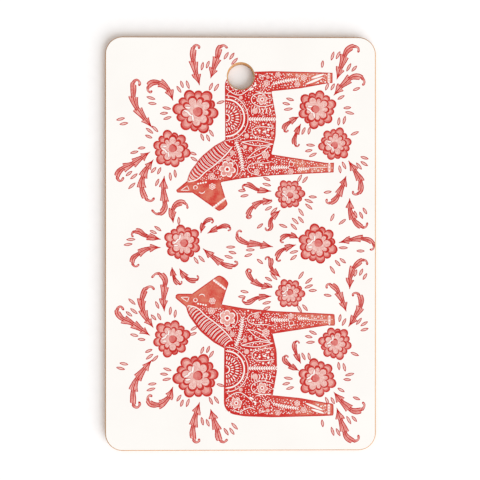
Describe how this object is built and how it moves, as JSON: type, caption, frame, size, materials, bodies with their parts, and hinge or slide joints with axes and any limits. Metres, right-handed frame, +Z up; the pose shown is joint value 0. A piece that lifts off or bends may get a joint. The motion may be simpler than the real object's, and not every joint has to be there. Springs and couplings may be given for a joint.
{
  "type": "cutting board",
  "caption": "Rectangular birch plywood cutting board with rounded corners, a round hanging hole and a white gloss laminate face printed with mirrored folk horses, flowers and leaves.",
  "frame": {"origin": "middle of the back face, the face that lies on the worktop", "axes": "+Z up out of the printed face, +Y along the board towards the hanging hole, +X across it to the right seen from above"},
  "size_m": [0.292, 0.446, 0.0095],
  "materials": {
    "laminate": "gloss white with red folk print, brown core at its cut edge",
    "birch_along": "clear-lacquered birch, grain along the board",
    "birch_across": "birch end grain, grain across the board"
  },
  "bodies": {
    "root": {"printed_skin": "laminate", "back_veneer": "birch_along", "back_crossband": "birch_across", "back_inner_ply": "birch_along", "centre_ply": "birch_across", "face_inner_ply": "birch_along", "face_crossband": "birch_across", "face_veneer": "birch_along"}
  },
  "joints": []
}
